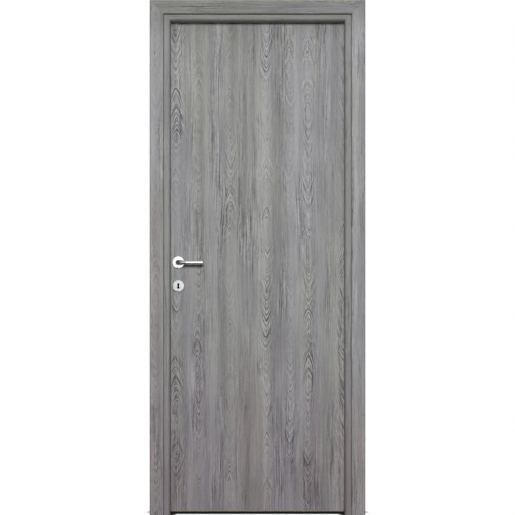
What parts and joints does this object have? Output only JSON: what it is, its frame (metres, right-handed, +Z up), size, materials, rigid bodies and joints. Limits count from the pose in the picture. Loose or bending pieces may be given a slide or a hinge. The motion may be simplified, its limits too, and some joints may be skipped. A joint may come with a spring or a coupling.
{
  "type": "interior door",
  "caption": "Rebated hollow-core interior door leaf in a mitred timber frame with casings, barrel hinges, a mortise lock and a lever handle on round roses.",
  "frame": {"origin": "on the outer face of the hinge jamb, where it meets the wall, at floor level and at the middle of the wall's thickness", "axes": "+X from the lock side to the hinge side, +Y from the side the door is pushed from to the side it swings to, +Z up"},
  "size_m": [0.914, 0.17, 2.187],
  "materials": {
    "grey_laminate": "satin grey wood-grain laminate",
    "raw_board": "raw softwood and board",
    "satin_metal": "satin nickel",
    "hinge_metal": "satin nickel plated steel",
    "lock_steel": "zinc plated steel",
    "seal_rubber": "matte black"
  },
  "bodies": {
    "frame": {"hinge_jamb": "grey_laminate", "lock_jamb": "grey_laminate", "head_jamb": "grey_laminate", "hinge_stop": "grey_laminate", "lock_stop": "grey_laminate", "head_stop": "grey_laminate", "front_hinge_casing": "grey_laminate", "front_lock_casing": "grey_laminate", "front_head_casing": "grey_laminate", "rear_hinge_casing": "grey_laminate", "rear_lock_casing": "grey_laminate", "rear_head_casing": "grey_laminate", "hinge_seal": "seal_rubber", "lock_seal": "seal_rubber", "head_seal": "seal_rubber", "strike_plate": "lock_steel", "bottom_hinge_frame_half": "hinge_metal", "middle_hinge_frame_half": "hinge_metal", "top_hinge_frame_half": "hinge_metal"},
    "leaf": {"front_skin": "grey_laminate", "rear_skin": "grey_laminate", "hinge_stile": "raw_board", "lock_stile": "raw_board", "top_rail": "raw_board", "bottom_rail": "raw_board", "lock_block": "raw_board", "lock_faceplate": "lock_steel", "lock_case": "lock_steel", "latch_bolt": "lock_steel", "dead_bolt": "lock_steel", "front_rose": "satin_metal", "rear_rose": "satin_metal", "front_key_rose": "satin_metal", "rear_key_rose": "satin_metal", "bottom_hinge_leaf_half": "hinge_metal", "middle_hinge_leaf_half": "hinge_metal", "top_hinge_leaf_half": "hinge_metal"},
    "handle": {"front_lever": "satin_metal", "rear_lever": "satin_metal", "spindle": "lock_steel"}
  },
  "joints": [
    {"name": "door_swing", "type": "hinge", "parent": "frame", "child": "leaf", "pos_m": [-0.0145, 0.061, 1.065], "axis": [0, 0, -1], "range_deg": [0, 170]},
    {"name": "lever_turn", "type": "hinge", "parent": "leaf", "child": "handle", "pos_m": [-0.755, 0.04, 1.075], "axis": [0, 1, 0], "range_deg": [0, 40], "stiffness_Nm_per_rad": 1, "springref_deg": -28.65}
  ]
}
